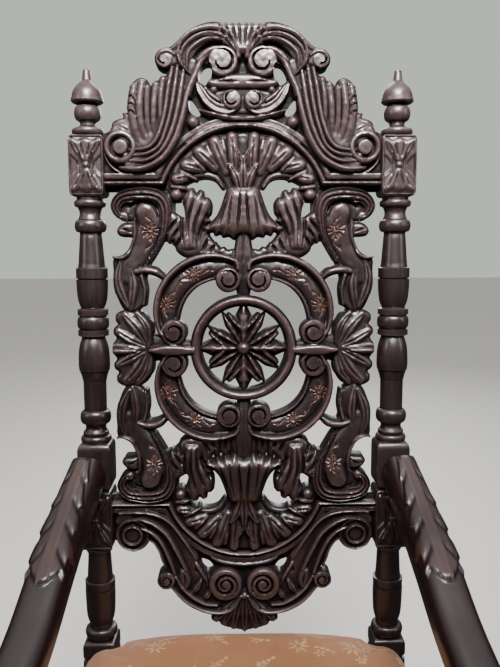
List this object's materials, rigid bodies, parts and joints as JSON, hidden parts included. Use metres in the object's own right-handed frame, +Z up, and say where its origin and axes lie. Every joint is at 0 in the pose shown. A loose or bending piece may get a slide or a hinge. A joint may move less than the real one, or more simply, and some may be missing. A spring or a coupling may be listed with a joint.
{
  "type": "carved throne chair",
  "caption": "Tall-backed carved armchair throne with turned posts, pierced scroll and leaf back, sloping scroll-ended arms and a stuffed fabric seat.",
  "frame": {"origin": "on the floor, in the middle of the bounding box's footprint", "axes": "+Z up, the sitter faces -Y, +X to the viewer's right when seen from the front"},
  "size_m": [0.514, 0.5282, 1.2491],
  "materials": {
    "dark_wood": "dark brown-purple stain with a worn semi-gloss polish",
    "arm_wood": "reddish dark brown stain, polished by hands",
    "damask": "tan-pink woven upholstery with a paler floral figure"
  },
  "bodies": {
    "root": {"crest_rail": "dark_wood", "splat": "dark_wood", "lower_back_rail": "dark_wood", "back_post_left": "dark_wood", "back_post_right": "dark_wood", "front_leg_left": "dark_wood", "front_leg_right": "dark_wood", "arm_left": "arm_wood", "arm_right": "arm_wood", "side_rail_left": "dark_wood", "side_rail_right": "dark_wood", "side_stretcher_left": "dark_wood", "side_stretcher_right": "dark_wood", "back_seat_rail": "dark_wood", "front_seat_rail": "dark_wood", "cross_stretcher": "dark_wood", "front_stretcher": "dark_wood", "seat_cushion": "damask"}
  },
  "joints": []
}
